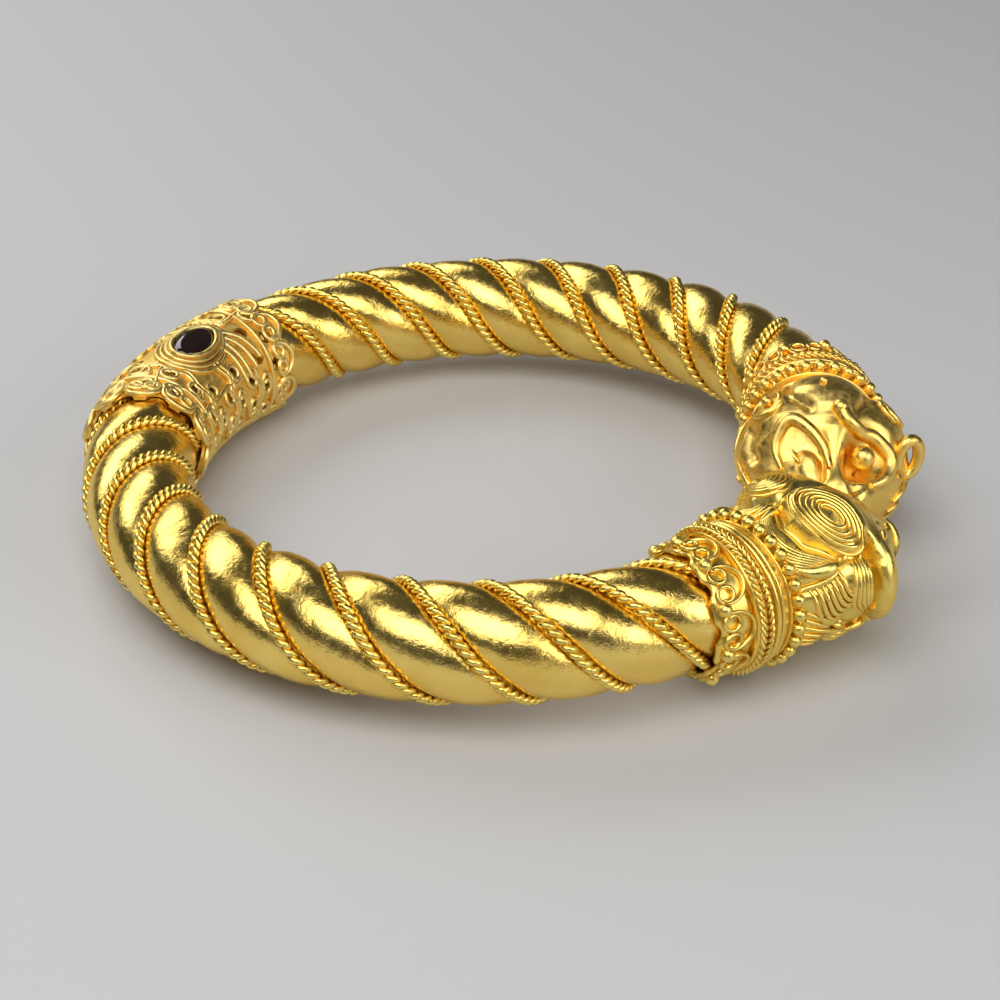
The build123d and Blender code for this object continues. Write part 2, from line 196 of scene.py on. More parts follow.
# Ears, as rings that face the nose, in mm: sideways, upward and ahead, half width, half height, wire
HEAD_EARS = {
    "left": [],
    "right": [(7.9, 2.2, 8.9, 1.05, 1.85, 0.62)],
}

# Long ridges of the sleeve by the stone: mm along the hoop and round the tube from the stone's middle
SLEEVE_RIDGES = [
    [(2.3, 2.1), (2.7, 3.6), (2.9, 6.2)],
    [(3.2, 1.7), (3.7, 3.4), (4.0, 6.4)],
    [(3.8, 1.2), (4.9, 3.0), (5.4, 5.8)],
    [(4.2, 0.5), (5.8, 2.4), (6.6, 5.0)],
]

# Field of the long ridges, in mm from the stone's middle: first and last place along the hoop, and depth
RIDGE_FIELD = (1.5, 7.0, 6.0)

# Oval wires round the bezel, in mm: how much wider than the stone, and lift
STONE_RIDGES = [(0.25, 0.75), (0.66, 0.42), (1.12, 0.15), (1.62, 0.03)]

# Seed of the sleeve wires' unevenness, so that each run gives the same ones
UNEVEN_SEED = 7

# How far a head reaches back under its bead ring, in mm
HEAD_SUNK = 0.4

# Lobes of the twisted tube, each with a groove and a rope beside it
LOBES = 3

# Steps round the collar of its turned rings
COLLAR_SIDES = 144

# Gold finishes: colour property, roughness, grain of the marks per metre, depth of the marks in mm,
# share of the painted shade colour in hollows, and how far the painted shade reaches into a hollow in mm
GOLD_FINISHES = {
    "hammered_sheet": ("sheet", 0.2, 1100.0, 0.085, 0.5, 0.9),
    "worked_gold": ("work", 0.3, 1500.0, 0.02, 0.55, 0.8),
    "warm_gold": ("warm", 0.34, 1500.0, 0.02, 0.6, 1.1),
    "pierced_ground": ("ground", 0.48, 1500.0, 0.03, 0.4, 0.8),
    "filigree_gold": ("sleeve", 0.4, 1500.0, 0.03, 0.45, 0.8),
}

# The right head and collar are coloured redder than the left ones
END_GOLD = {"left": "worked_gold", "right": "warm_gold"}

# Share of each colour that is left where the gold is cloudy, and the gold's colour at a grazing angle
CLOUDY = (0.93, 0.88, 0.72)
GRAZING = (1.0, 0.93, 0.72, 1.0)

FLOOR_COLOUR = (0.58, 0.575, 0.57, 1)
WORLD_COLOUR = (0.20, 0.20, 0.21, 1)
WORLD_STRENGTH = 0.3

# Soft boxes that face the wrist opening: name, place, width and height in metres, power in watts
SOFT_BOXES = [
    ("key", (-0.22, -0.02, 0.34), 0.42, 0.34, 1.25),
    ("back", (0.16, 0.30, 0.26), 0.45, 0.22, 0.9),
    ("front", (-0.10, -0.40, 0.20), 0.30, 0.26, 0.7),
]

# The photograph's camera, as fitted to the hoop: rise over its plane, roll and turn in degrees, middle of
# the view and distance in hoop radii, then the focal length and the picture's width in pixels
PHOTO_RISE = 29.255
PHOTO_ROLL = 1.136
PHOTO_TURN = -70
PHOTO_AIM = (0.0240, -0.2679, 0)
PHOTO_DISTANCE = 6.861
PHOTO_FOCUS = 2481.5
PHOTO_WIDTH = 1000


def size(name, description, millimetres):
    """Length property with its default given in millimetres."""
    return FloatProperty(
        name=name,
        description=description,
        default=millimetres * MM,
        precision=5,
        unit="LENGTH",
        subtype="DISTANCE",
    )


def angle(name, description, degree):
    """Angle property with its default given in degrees."""
    return FloatProperty(name=name, description=description, default=radians(degree), subtype="ANGLE")


def colour(name, description, value):
    return FloatVectorProperty(name=name, description=description, default=value, size=3, subtype="COLOR")


class HoopSizes(PropertyGroup):
    radius: size("Hoop radius", "From the middle of the wrist opening to the middle of the tube", 34.0)
    left_end: angle("Left end", "Angle round the hoop of the left head's bead ring", 240.4)
    bend_from: angle("Bend start", "Angle round the hoop where the right end starts to bend inward", -20.0)
    bend_radius: size("Bend radius", "Radius of the bend at the right end", 27.9)
    bend_turn: angle("Bend turn", "How far the right end turns", 51.0)
    crest: size("Lobe crest", "Tube radius at the top of a lobe", 5.3)
    lip: size("Groove lip", "Tube radius at the edge of a groove", 4.75)
    floor: size("Groove floor", "Tube radius at the bottom of a groove", 4.25)
    left_pitch: size("Left pitch", "Length of one full twist of the left half", 22.75)
    right_pitch: size("Right pitch", "Length of one full twist of the right half", 20.8)
    left_groove: size("Left groove", "Station where a groove of the left half faces outward", 32.1)
    right_groove: size("Right groove", "Station where a groove of the right half faces outward", 133.2)
    dent: size("Dents", "Depth of the soft dents in the sheet", 0.10)


class RopeSizes(PropertyGroup):
    centre: size("Rope radius", "From the middle of the tube to the middle of a rope", 4.90)
    strand: size("Strand", "Radius of one strand", 0.32)
    offset: size("Strand offset", "From the middle of the rope to the middle of a strand", 0.27)
    lay: size("Lay", "Length in which a strand goes once round", 1.8)


class SleeveSizes(PropertyGroup):
    middle: angle("Middle", "Angle round the hoop of the sleeve's middle", 86.0)
    length: size("Length", "Length along the hoop", 23.6)
    skin: size("Skin", "Radius of the pierced sheet's outside", 5.85)
    wire: size("Wire", "Radius of the filigree wire", 0.27)
    rows: IntProperty(name="Rows", description="Rows of curls along the sleeve", default=8)
    columns: IntProperty(name="Columns", description="Curls in a row", default=12)
    curl: size("Curl", "Radius of a curl round a hole", 1.18)
    edge_scrolls: IntProperty(name="Edge scrolls", description="Scrolls round each edge", default=10)
    edge_scroll: size("Edge scroll", "Radius of a scroll at the edge", 1.8)
    border: size("Border", "From the edge to the plain wire inside it", 3.9)
    uneven: size("Uneven", "How far the wires are out of true", 0.12)
    stone_turn: angle("Stone turn", "Angle round the tube of the stone", 103.0)
    stone_length: size("Stone length", "Length of the stone along the sleeve", 6.2)
    stone_width: size("Stone width", "Width of the stone round the sleeve", 3.4)


class CollarSizes(PropertyGroup):
    length: size("Length", "From the bead ring to the back edge", 7.0)
    band: size("Band", "Outside radius of the sheet under the scrolls", 5.85)
    inner: size("Inside", "Inside radius of the collar", 5.45)
    scallop: size("Scallop", "Depth of the cuts in the back edge", 0.55)
    step: size("Step", "Length of the thick part behind the beads", 3.7)
    step_radius: size("Step radius", "Outside radius of the thick part", 6.45)
    seat: size("Seat", "How far the thick part reaches past the beads", 0.65)
    beads: IntProperty(name="Beads", description="Beads in the ring", default=30)
    bead: size("Bead", "Radius of a bead", 0.62)
    bead_ring: size("Bead ring", "Radius of the circle of beads", 6.85)
    bead_turn: angle("Bead turn", "Angle round the tube of the first bead", 3.0)
    ring_near: size("Near ring", "Place of the plain ring next to the beads", 1.35)
    ring_far: size("Far ring", "Place of the plain ring next to the braid", 1.85)
    ring_wire: size("Ring wire", "Radius of the near ring's wire", 0.22)
    braid_near: size("Near rope", "Place of the rope next to the rings", 2.62)
    braid_far: size("Far rope", "Place of the rope next to the scrolls", 3.30)
    braid_strand: size("Braid strand", "Radius of a strand in the braid", 0.19)
    braid_turns: IntProperty(name="Braid turns", description="Turns of a rope round the collar", default=30)
    scrolls: IntProperty(name="Scrolls", description="Scrolls round the band", default=9)
    scroll: size("Scroll", "Radius of a scroll", 1.85)
    scroll_at: size("Scroll place", "From the bead ring to the middle of a scroll", 5.55)
    scroll_turn: angle("Scroll turn", "Angle round the tube of the first scroll", 8.0)
    curl: FloatProperty(name="Curl", description="Radius of a curl as a share of the scroll", default=0.44)
    shrink: FloatProperty(name="Shrink", description="Share by which a curl narrows", default=0.3)
    strip: size("Strip", "Thickness of the strip", 0.28)
    strip_height: size("Strip height", "Height of the strip over the sheet", 0.5)
    ball: size("Ball", "Radius of a ball between two scrolls", 0.65)
    ball_at: size("Ball place", "From the bead ring to the balls", 6.2)


class HeadSizes(PropertyGroup):
    left_lean: angle("Left lean", "How far the left nose leans outward", 3.7)
    right_lean: angle("Right lean", "How far the right nose leans outward", 0.0)
    left_roll: angle("Left roll", "How far the left crown turns outward", -4.0)
    right_roll: angle("Right roll", "How far the right crown turns outward", 6.0)
    sides: IntProperty(name="Sides", description="Steps round a head", default=172)
    rings: IntProperty(name="Rings", description="Steps along a head", default=112)


class GoldLook(PropertyGroup):
    sheet: colour("Sheet", "Polished sheet of the tube", (1.0, 0.73, 0.2))
    # Painted shade: darker, more orange colour mixed into occluded grooves and gaps between wires
    painted_recess_shade: colour("Recess", "Gold deep in grooves and between wires", (0.92, 0.56, 0.07))
    work: colour("Wire work", "Wires, beads and heads", (1.0, 0.78, 0.22))
    warm: colour("Warm work", "Head and collar at the right end", (1.0, 0.72, 0.21))
    ground: colour("Ground", "Pierced sheet under the filigree", (1.0, 0.74, 0.24))
    sleeve: colour("Sleeve", "Filigree of the sleeve", (1.0, 0.79, 0.31))
    stone: colour("Stone", "Stone in the sleeve", (0.022, 0.008, 0.005))


def lean():
    """How far the hoop leans: its bead rings and its sleeve stand on one floor."""
    hoop = bpy.context.scene.bangle_hoop
    collar = bpy.context.scene.bangle_collar
    sleeve = bpy.context.scene.bangle_sleeve
    drop = collar.bead_ring + collar.bead - sleeve.skin
    return asin(drop / (hoop.radius * (1 + sin(hoop.left_end - pi))))


def hoop_frame():
    return Matrix.Rotation(-lean(), 4, "X")


def path_length():
    hoop = bpy.context.scene.bangle_hoop
    return (hoop.left_end - hoop.bend_from) * hoop.radius + hoop.bend_turn * hoop.bend_radius


def place(station):
    """Frame on the hoop's middle line: x outward, y up, z along the hoop towards the right head."""
    hoop = bpy.context.scene.bangle_hoop
    straight = (hoop.left_end - hoop.bend_from) * hoop.radius
    centre = Vector((0, 0, 0))
    radius = hoop.radius
    round_ = hoop.left_end - station / radius
    if station > straight:
        shift = hoop.radius - hoop.bend_radius
        centre = Vector((cos(hoop.bend_from), sin(hoop.bend_from), 0)) * shift
        radius = hoop.bend_radius
        round_ = hoop.bend_from - (station - straight) / radius
    out = Vector((cos(round_), sin(round_), 0))
    along = Vector((sin(round_), -cos(round_), 0))
    axes = Matrix((out, (0, 0, 1), along)).transposed().to_4x4()
    axes.translation = centre + out * radius
    return hoop_frame() @ axes


def sleeve_station():
    hoop = bpy.context.scene.bangle_hoop
    return (hoop.left_end - bpy.context.scene.bangle_sleeve.middle) * hoop.radius


def on_tube(station, radius, round_):
    """Point at a radius and an angle round the tube."""
    return place(station) @ Vector((radius * cos(round_), radius * sin(round_), 0))


def twist(half, station):
    hoop = bpy.context.scene.bangle_hoop
    if half == "left":
        return 2 * pi * (station - hoop.left_groove) / hoop.left_pitch
    return 2 * pi * (station - hoop.right_groove) / hoop.right_pitch


def stations(first, last, step):
    count = max(2, ceil((last - first) / step))
    return [first + (last - first) * i / count for i in range(count + 1)]


def draw_loop(bm, outline, where):
    """Closed loop of edges through an outline's points, in a frame."""
    corners = [bm.verts.new(where @ Vector((x, y, 0))) for x, y in outline]
    return [bm.edges.new(pair) for pair in zip(corners, corners[1:] + corners[:1])]


def cap_loop(bm, edges):
    bmesh.ops.holes_fill(bm, edges=edges, sides=0)


def carry(bm, outline, places, joined=False):
    """Extrudes an outline through a row of frames, and caps or joins the ends."""
    first = edges = draw_loop(bm, outline, places[0])
    for before, after in zip(places, places[1:]):
        grown = bmesh.ops.extrude_edge_only(bm, edges=edges)["geom"]
        corners = [g for g in grown if isinstance(g, bmesh.types.BMVert)]
        edges = [g for g in grown if isinstance(g, bmesh.types.BMEdge)]
        bmesh.ops.transform(bm, matrix=after @ before.inverted(), verts=corners)
    if joined:
        bmesh.ops.bridge_loops(bm, edges=first + edges)
    else:
        cap_loop(bm, first)
        cap_loop(bm, edges)


def join(bm, part):
    """Adds a finished part to a piece's mesh, because a small mesh is shaped much faster than a large one."""
    made = bpy.data.meshes.new("part")
    part.to_mesh(made)
    part.free()
    bm.from_mesh(made)
    bpy.data.meshes.remove(made)


def ring_outline(sides):
    return [(cos(2 * pi * i / sides), sin(2 * pi * i / sides)) for i in range(sides)]


def add_ring(bm, where, major, minor, steps=96, sides=10):
    """Plain wire ring round the tube."""
    ring = bmesh.new()
    across = where @ Matrix.Translation((major, 0, 0)) @ Matrix.Rotation(pi / 2, 4, "X")
    loop = draw_loop(ring, [(x * minor, y * minor) for x, y in ring_outline(sides)], across)
    corners = list({v for e in loop for v in e.verts})
    axis = where.to_3x3() @ Vector((0, 0, 1))
    bmesh.ops.spin(
        ring,
        geom=loop + corners,
        cent=where.translation,
        axis=axis,
        angle=2 * pi,
        steps=steps,
        use_merge=True,
    )
    join(bm, ring)


def add_ball(bm, where, radius, sides=16):
    ball = bmesh.new()
    bmesh.ops.create_uvsphere(
        ball, u_segments=sides, v_segments=sides * 3 // 4, radius=radius, matrix=Matrix.Translation(where)
    )
    join(bm, ball)


def add_wires(bm, lines, radius, sides=6, closed=False):
    """Round wires along lines of points. A point may carry its own share of the radius."""
    drawn = bpy.data.curves.new("drawn", "CURVE")
    drawn.dimensions = "3D"
    drawn.bevel_depth = radius
    drawn.bevel_resolution = (sides - 4) // 2
    drawn.use_fill_caps = True
    for line in lines:
        spline = drawn.splines.new("POLY")
        spline.points.add(len(line) - 1)
        spline.use_cyclic_u = closed
        for point, spot in zip(spline.points, line):
            where, share = spot if isinstance(spot, tuple) else (spot, 1.0)
            point.co = (*where, 1)
            point.radius = share
    holder = bpy.data.objects.new("drawn", drawn)
    made = bpy.data.meshes.new_from_object(holder)
    bm.from_mesh(made)
    bpy.data.objects.remove(holder)
    bpy.data.curves.remove(drawn)
    bpy.data.meshes.remove(made)


def rope_strands(core, offset, lay, hand):
    """Lines of a rope's two strands. The core is points with their outward directions; hand is 1 or -1."""
    lines = [[], []]
    walked = 0.0
    for i, (point, out) in enumerate(core):
        ahead = core[min(i + 1, len(core) - 1)][0] - core[max(i - 1, 0)][0]
        side = ahead.cross(out).normalized()
        if i:
            walked += (point - core[i - 1][0]).length
        for k, line in enumerate(lines):
            phase = hand * 2 * pi * walked / lay + pi * k
            line.append(point + (out * cos(phase) + side * sin(phase)) * offset)
    return lines


def smooth_value(p, q, r, s, t):
    """Value at a share t of the way from q to r, on a smooth curve that comes from p and goes on to s."""
    bend = 2 * p - 5 * q + 4 * r - s
    sway = 3 * q - p - 3 * r + s
    return 0.5 * (2 * q + (r - p) * t + bend * t * t + sway * t**3)


def smooth_path(points, steps):
    """Points of a smooth line through the given ones; each point is a row of numbers."""
    rows = [points[0], *points, points[-1]]
    line = []
    for a, b, c, d in zip(rows, rows[1:], rows[2:], rows[3:]):
        for i in range(steps):
            line.append([smooth_value(*four, i / steps) for four in zip(a, b, c, d)])
    line.append(list(points[-1]))
    return line


def finish_piece(name, bm, material, replaced=()):
    """Makes the object of a finished mesh, puts it under the root body and hides the CAD parts that it stands
    for.
    """
    bmesh.ops.recalc_face_normals(bm, faces=bm.faces)
    made = bpy.data.meshes.new(name)
    bm.to_mesh(made)
    bm.free()
    made.shade_smooth()
    piece = bpy.data.objects.new(name, made)
    bpy.context.scene.collection.objects.link(piece)
    made.materials.append(material)
    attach(piece, "root")
    if replaced:
        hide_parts(*replaced)


def add_node(tree, kind, values=()):
    """Shader node with values set on its inputs, given as pairs of name and value."""
    node = tree.nodes.new(kind)
    for name, value in values:
        node.inputs[name].default_value = value
    return node


def cloudy_colour(tree, where, scale, detail, ramp):
    """Colour output of soft noise between two places and colours of a ramp."""
    cloud = add_node(tree, "ShaderNodeTexNoise", [("Scale", scale), ("Detail", detail)])
    tree.links.new(where, cloud.inputs["Vector"])
    tone = add_node(tree, "ShaderNodeValToRGB")
    for element, (position, shown) in zip(tone.color_ramp.elements, ramp):
        element.position = position
        element.color = (*shown, 1)
    tree.links.new(cloud.outputs["Fac"], tone.inputs["Fac"])
    return tone.outputs["Color"]


def map_range(tree, value, from_min, from_max, to_min, to_max):
    """Output of a value brought from one range to another."""
    limits = [("From Min", from_min), ("From Max", from_max), ("To Min", to_min), ("To Max", to_max)]
    node = add_node(tree, "ShaderNodeMapRange", limits)
    tree.links.new(value, node.inputs["Value"])
    return node.outputs["Result"]


def gold(name):
    """Gold with cloudy colour, painted shade in recesses, uneven polish and small tool marks."""
    if name in bpy.data.materials:
        return bpy.data.materials[name]
    shade, rough, grain, mark, painted_recess_shade, reach = GOLD_FINISHES[name]
    look = bpy.context.scene.bangle_gold
    light = getattr(look, shade)
    made = bpy.data.materials.new(name)
    made.use_nodes = True
    tree = made.node_tree
    shader = tree.nodes["Principled BSDF"]
    shader.inputs["Metallic"].default_value = 1.0
    shader.inputs["Specular Tint"].default_value = GRAZING
    where = add_node(tree, "ShaderNodeTexCoord").outputs["Object"]

    # Clouds about 4 mm wide, between a dimmer and the full colour
    dim = [part * left for part, left in zip(light, CLOUDY)]
    clouds = cloudy_colour(tree, where, 260.0, 3.0, [(0.35, dim), (0.65, light)])

    # Painted shade: occluded hollows go towards the darker, more orange recess colour, the more so the deeper
    # they are
    occlusion_shade = add_node(tree, "ShaderNodeAmbientOcclusion", [("Distance", reach * MM)])
    occlusion_shade.samples = 6
    warm = add_node(tree, "ShaderNodeMix")
    warm.data_type = "RGBA"
    warm.inputs["B"].default_value = (*look.painted_recess_shade, 1)
    tree.links.new(map_range(tree, occlusion_shade.outputs["AO"], 0.35, 0.95, painted_recess_shade, 0.0), warm.inputs["Factor"])
    tree.links.new(clouds, warm.inputs["A"])
    tree.links.new(warm.outputs["Result"], shader.inputs["Base Color"])

    # Wear makes the polish uneven and leaves small marks
    wear = add_node(tree, "ShaderNodeTexNoise", [("Scale", grain), ("Detail", 5.0), ("Roughness", 0.62)])
    tree.links.new(where, wear.inputs["Vector"])
    finest, coarsest = rough * 0.65, rough * 1.5
    polish = map_range(tree, wear.outputs["Fac"], 0.3, 0.7, finest, coarsest)
    tree.links.new(polish, shader.inputs["Roughness"])
    marks = add_node(tree, "ShaderNodeBump", [("Strength", 1.0), ("Distance", mark * MM)])
    tree.links.new(wear.outputs["Fac"], marks.inputs["Height"])
    tree.links.new(marks.outputs["Normal"], shader.inputs["Normal"])
    return made


def finish_node(name, material):
    """Gives a CAD node that stays in view its own finish."""
    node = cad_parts[name]
    node.data.materials.clear()
    node.data.materials.append(material)


def lobe_outline():
    """Section of the twisted tube, as points round its middle."""
    hoop = bpy.context.scene.bangle_hoop
    # Degrees from the middle of a groove to the edge of its floor, to its lip and to the lobe's first point
    flat, edge, shoulder = 8.5, 11.2, 12.2
    dip = 0.03 * MM
    lip = hoop.lip - 0.05 * MM
    steps = 14
    fullness = 2.3
    turn = 360 / LOBES
    points = []
    for lobe in range(LOBES):
        start = 2 * pi * lobe / LOBES
        spots = [(-flat, hoop.floor), (0.0, hoop.floor - dip), (flat, hoop.floor), (edge, lip)]
        for i in range(steps + 1):
            share = i / steps
            bulge = hoop.lip + (hoop.crest - hoop.lip) * (1 - abs(2 * share - 1) ** fullness)
            spots.append((shoulder + (turn - 2 * shoulder) * share, bulge))
        spots.append((turn - edge, lip))
        points += [(r * cos(start + radians(a)), r * sin(start + radians(a))) for a, r in spots]
    return points


class BANGLE_OT_tube(Operator):
    """Makes the two halves of twisted three-lobed tube"""

    bl_idname = "bangle.tube"
    bl_label = "Twisted tube"

    def execute(self, context):
        hoop = context.scene.bangle_hoop
        sleeve = sleeve_station()
        gap = 0.15 * MM
        under_step = 0.4 * MM
        step = 0.5 * MM
        # Wide and narrow dents, per metre
        wide, narrow = 210.0, 520.0
        end = context.scene.bangle_collar.step - under_step
        spans = {"left": (end, sleeve - gap), "right": (sleeve + gap, path_length() - end)}
        for half, (first, last) in spans.items():
            bm = bmesh.new()
            places = []
            for s in stations(first, last, step):
                places.append(place(s) @ Matrix.Rotation(twist(half, s), 4, "Z"))
            carry(bm, lobe_outline(), places)
            bm.normal_update()
            for v in bm.verts:
                soft = noise.noise(v.co * wide) + 0.5 * noise.noise(v.co * narrow)
                v.co += v.normal * hoop.dent * soft
            finish_piece(f"tube_{half}", bm, gold("hammered_sheet"), [f"hoop_{half}"])
        return {"FINISHED"}


class BANGLE_OT_ropes(Operator):
    """Lays a twisted rope wire in each groove"""

    bl_idname = "bangle.ropes"
    bl_label = "Rope wires"

    def execute(self, context):
        rope = context.scene.bangle_rope
        sleeve = context.scene.bangle_sleeve
        hide = 2.0 * MM
        step = 0.14 * MM
        end = context.scene.bangle_collar.length - hide
        reach = sleeve.length / 2 - hide
        spans = {
            "left": (end, sleeve_station() - reach),
            "right": (sleeve_station() + reach, path_length() - end),
        }
        for half, (first, last) in spans.items():
            for groove in range(LOBES):
                core = []
                for s in stations(first, last, step):
                    round_ = twist(half, s) + 2 * pi * groove / LOBES
                    where = place(s)
                    out = where.to_3x3() @ Vector((cos(round_), sin(round_), 0))
                    core.append((where.translation + out * rope.centre, out))
                bm = bmesh.new()
                add_wires(bm, rope_strands(core, rope.offset, rope.lay, -1), rope.strand)
                name = f"{half}_{groove + 1}"
                finish_piece(f"rope_{name}", bm, gold("worked_gold"), [f"groove_wire_{name}"])
        return {"FINISHED"}


class BANGLE_OT_stone(Operator):
    """Gives the stone its dark glassy look"""

    bl_idname = "bangle.stone"
    bl_label = "Stone"

    def execute(self, context):
        made = bpy.data.materials.new("dark_stone")
        made.use_nodes = True
        tree = made.node_tree
        shader = tree.nodes["Principled BSDF"]
        shader.inputs["Roughness"].default_value = 0.06
        shader.inputs["Coat Weight"].default_value = 0.6
        where = add_node(tree, "ShaderNodeTexCoord").outputs["Object"]
        deep = context.scene.bangle_gold.stone
        darker = [part * 0.3 for part in deep]
        clouds = cloudy_colour(tree, where, 700.0, 2.0, [(0.0, darker), (1.0, deep)])
        tree.links.new(clouds, shader.inputs["Base Color"])
        finish_node("stone", made)
        return {"FINISHED"}


def end_place(end, back):
    """Frame of the tube's section at a distance back from an end's bead ring."""
    return place(back if end == "left" else path_length() - back)


def on_end(end, back, round_, radius):
    """Point round the tube at a distance back from an end's bead ring."""
    return end_place(end, back) @ Vector((radius * cos(round_), radius * sin(round_), 0))


def add_turned(bm, places, radii):
    """Closed ring of metal with a turned profile, a frame and a radius for each corner of it."""
    scaled = [where @ Matrix.Diagonal((radius, radius, 1, 1)) for where, radius in zip(places, radii)]
    turned = bmesh.new()
    carry(turned, ring_outline(COLLAR_SIDES), scaled, joined=True)
    join(bm, turned)


def add_strip(bm, line, thick, high):
    """Flat strip standing on edge along a line of points with their outward directions."""
    places = []
    for i, (point, out) in enumerate(line):
        ahead = (line[min(i + 1, len(line) - 1)][0] - line[max(i - 1, 0)][0]).normalized()
        aside = out.cross(ahead).normalized()
        axes = Matrix((aside, ahead.cross(aside), ahead)).transposed().to_4x4()
        axes.translation = point
        places.append(axes)
    corners = [(thick / 2 * x, high / 2 * y) for x, y in ((-1, -1), (1, -1), (1, 1), (-1, 1))]
    strip = bmesh.new()
    carry(strip, corners, places)
    join(bm, strip)


def scroll_line():
    """Middle line of a C scroll with a curl in each tip, as distances back and round from its middle."""
    collar = bpy.context.scene.bangle_collar
    bow = collar.scroll - collar.strip / 2
    curl = collar.curl * collar.scroll
    tip = radians(80)
    turns = 1.08
    curl_steps = 26
    arc_steps = 24
    curl_line = []
    for i in range(curl_steps + 1):
        share = i / curl_steps
        radius = curl * (1 - collar.shrink * share)
        turned = tip - 2 * pi * turns * share
        x = (bow - curl) * cos(tip) + radius * cos(turned)
        y = (bow - curl) * sin(tip) + radius * sin(turned)
        curl_line.append((x, y))
    arc = [tip + (2 * pi - 2 * tip) * i / arc_steps for i in range(1, arc_steps)]
    other = [(x, -y) for x, y in curl_line]
    return curl_line[::-1] + [(bow * cos(a), bow * sin(a)) for a in arc] + other


def closed_rope(bm, where, radius, hand):
    """Rope of the braid, laid right round the tube with whole turns so that it joins."""
    collar = bpy.context.scene.bangle_collar
    steps_a_turn = 10
    offset = collar.braid_strand * 0.9
    count = collar.braid_turns * steps_a_turn
    core = []
    for x, y in ring_outline(count):
        out = where.to_3x3() @ Vector((x, y, 0))
        core.append((where.translation + out * radius, out))
    chord = 2 * radius * sin(pi / count)
    strands = rope_strands(core, offset, chord * count / collar.braid_turns, hand)
    add_wires(bm, strands, collar.braid_strand, closed=True)


class BANGLE_OT_collars(Operator):
    """Makes the collars behind the heads: scroll band, braid, plain rings, balls and bead ring"""

    bl_idname = "bangle.collars"
    bl_label = "Collars"

    def execute(self, context):
        for end in ("left", "right"):
            bm = bmesh.new()
            self.add_band(bm, end)
            self.add_step(bm, end)
            self.add_scrolls(bm, end)
            self.add_beads(bm, end)
            finish_piece(f"filigree_{end}", bm, gold(END_GOLD[end]), [f"collar_{end}"])
        return {"FINISHED"}

    def add_band(self, bm, end):
        """Thin sheet under the scrolls, its back edge cut out between the curls."""
        collar = bpy.context.scene.bangle_collar
        lap = 0.3 * MM
        steps = 5
        cut_reach = 2.0 * MM
        reach = collar.length - collar.step + lap
        outside = [collar.step - lap + reach * i / steps for i in range(steps + 1)]
        backs = outside + outside[::-1]
        radii = [collar.band] * (steps + 1) + [collar.inner] * (steps + 1)
        before = len(bm.verts)
        add_turned(bm, [end_place(end, back) for back in backs], radii)
        bm.verts.ensure_lookup_table()
        edge = end_place(end, collar.length)
        rearward = edge.to_3x3() @ Vector((0, 0, 1 if end == "left" else -1))
        for v in bm.verts[before:]:
            spot = edge.inverted() @ v.co
            behind = (v.co - edge.translation).dot(rearward)
            nearness = max(0.0, 1 + behind / cut_reach)
            wave = max(0.0, cos(collar.scrolls * (atan2(spot.y, spot.x) - collar.scroll_turn)))
            v.co -= rearward * collar.scallop * nearness * wave

    def add_step(self, bm, end):
        """Thick part with the braid of two ropes, the plain rings and the seat of the beads."""
        collar = bpy.context.scene.bangle_collar
        outer = collar.step_radius
        bevel = 0.12 * MM
        braid_lift = 0.16 * MM
        profile = [
            (collar.step, outer - bevel),
            (collar.step - bevel, outer),
            (-collar.seat + bevel, outer),
            (-collar.seat, outer - bevel),
            (-collar.seat, collar.inner),
            (collar.step, collar.inner),
        ]
        add_turned(bm, [end_place(end, back) for back, _ in profile], [radius for _, radius in profile])
        for back, minor in ((collar.ring_near, collar.ring_wire), (collar.ring_far, collar.ring_wire * 1.25)):
            add_ring(bm, end_place(end, back), outer + 0.3 * minor, minor, steps=COLLAR_SIDES)
        for back, hand in ((collar.braid_near, 1), (collar.braid_far, -1)):
            closed_rope(bm, end_place(end, back), outer + braid_lift, hand)

    def add_scrolls(self, bm, end):
        """Strip scrolls round the band and a ball between each two."""
        collar = bpy.context.scene.bangle_collar
        sunk = 0.03 * MM
        top = collar.band + collar.strip_height - sunk
        middle = top - collar.strip_height / 2
        for i in range(collar.scrolls):
            centre = collar.scroll_turn + 2 * pi * i / collar.scrolls
            line = []
            for back, aside in scroll_line():
                round_ = centre + aside / middle
                where = end_place(end, collar.scroll_at + back)
                out = where.to_3x3() @ Vector((cos(round_), sin(round_), 0))
                line.append((where.translation + out * middle, out))
            add_strip(bm, line, collar.strip, collar.strip_height)
            between = centre + pi / collar.scrolls
            add_ball(bm, on_end(end, collar.ball_at, between, collar.band + collar.ball / 2), collar.ball, 20)

    def add_beads(self, bm, end):
        """Ring of beads, with a thin wire along their foot."""
        collar = bpy.context.scene.bangle_collar
        for i in range(collar.beads):
            round_ = collar.bead_turn + 2 * pi * i / collar.beads
            add_ball(bm, on_end(end, 0, round_, collar.bead_ring), collar.bead, 20)
        foot = end_place(end, 0.5 * MM)
        add_ring(bm, foot, collar.step_radius, 0.16 * MM, steps=COLLAR_SIDES)


